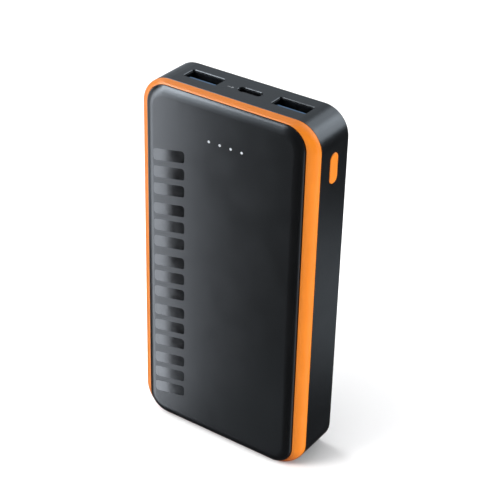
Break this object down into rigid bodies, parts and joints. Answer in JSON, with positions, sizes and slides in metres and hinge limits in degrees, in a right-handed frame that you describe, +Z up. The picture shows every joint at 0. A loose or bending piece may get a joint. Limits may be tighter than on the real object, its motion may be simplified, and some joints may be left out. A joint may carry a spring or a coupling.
{
  "type": "power bank",
  "caption": "Slim upright battery bank: matt black shell, pillowed front cover in an orange bezel ring, USB sockets on top, a sprung side key and a row of charge lights.",
  "frame": {"origin": "middle of the bottom end face, on the surface that the bank stands on", "axes": "+X towards the side with the key, -Y towards the front cover, +Z up towards the end with the sockets"},
  "size_m": [0.0708, 0.0226, 0.136],
  "materials": {
    "soft_touch_shell": "soft-touch matt black",
    "soft_touch_cover": "rubberised matt black",
    "orange_ring": "satin orange",
    "orange_key": "satin orange",
    "gloss_film": "clear gloss over black",
    "white_ink": "printed ink",
    "light_guide": "milky clear acrylic",
    "black_nylon": "moulded nylon",
    "switch_black": "moulded",
    "plunger_white": "moulded",
    "sheet_steel": "tinned sheet",
    "black_nickel": "black nickel over steel sheet",
    "spring_steel": "rolled",
    "socket_plastic": "moulded, blue-grey",
    "socket_black": "moulded",
    "gilt_contact": "gold flash",
    "board_laminate": "solder mask",
    "protection_laminate": "solder mask",
    "ferrite": "pressed",
    "chip_resin": "moulded epoxy",
    "capacitor_ceramic": "fired",
    "capacitor_can": "drawn can",
    "light_body": "moulded",
    "screw_zinc": "zinc plated",
    "pouch_foil": "laminated foil",
    "nickel_strip": "rolled",
    "foam": "closed-cell foam",
    "tape": "double-sided tape",
    "wire_red": "silicone sleeve",
    "wire_black": "silicone sleeve",
    "bead_resin": "epoxy bead"
  },
  "bodies": {
    "case": {"rear_shell": "soft_touch_shell", "bezel_ring": "orange_ring", "front_cover": "soft_touch_cover", "gloss_print": "gloss_film", "port_mark": "white_ink", "ring_screws": "screw_zinc", "board_screws": "screw_zinc", "switch_body": "switch_black", "switch_plate": "sheet_steel", "switch_dome": "spring_steel", "usb_c_shell": "black_nickel", "usb_c_insert": "socket_black", "usb_c_contacts": "gilt_contact", "main_board": "board_laminate", "boost_inductor": "ferrite", "charge_inductor": "ferrite", "power_controller": "chip_resin", "charge_controller": "chip_resin", "power_transistors": "chip_resin", "ceramic_capacitors": "capacitor_ceramic", "polymer_capacitors": "capacitor_can", "light_holder": "black_nylon", "foam_front": "foam", "foam_rear": "foam", "cell_tape": "tape", "protection_board": "protection_laminate", "thermistor": "bead_resin", "battery_lead_red": "wire_red", "battery_lead_black": "wire_black", "usb_a_shell_left": "black_nickel", "usb_a_springs_left": "spring_steel", "usb_a_insert_left": "socket_plastic", "usb_a_contacts_left": "gilt_contact", "usb_a_shell_right": "black_nickel", "usb_a_springs_right": "spring_steel", "usb_a_insert_right": "socket_plastic", "usb_a_contacts_right": "gilt_contact", "status_light_1": "light_body", "light_pipe_1": "light_guide", "status_light_2": "light_body", "light_pipe_2": "light_guide", "status_light_3": "light_body", "light_pipe_3": "light_guide", "status_light_4": "light_body", "light_pipe_4": "light_guide", "battery_cell_front": "pouch_foil", "cell_tabs_front": "nickel_strip", "battery_cell_rear": "pouch_foil", "cell_tabs_rear": "nickel_strip"},
    "key": {"power_key": "orange_key"},
    "plunger": {"switch_plunger": "plunger_white"}
  },
  "joints": [
    {"name": "key_press", "type": "slide", "parent": "case", "child": "key", "axis": [-1, 0, 0], "range_m": [0, 0.0004], "stiffness_N_per_m": 100, "deforming": ["switch_dome"]},
    {"name": "plunger_press", "type": "slide", "parent": "case", "child": "plunger", "axis": [-1, 0, 0], "range_m": [0, 0.0004]}
  ],
  "couplings": [
    {"joint": "plunger_press", "follows": "key_press", "ratio": 1}
  ]
}
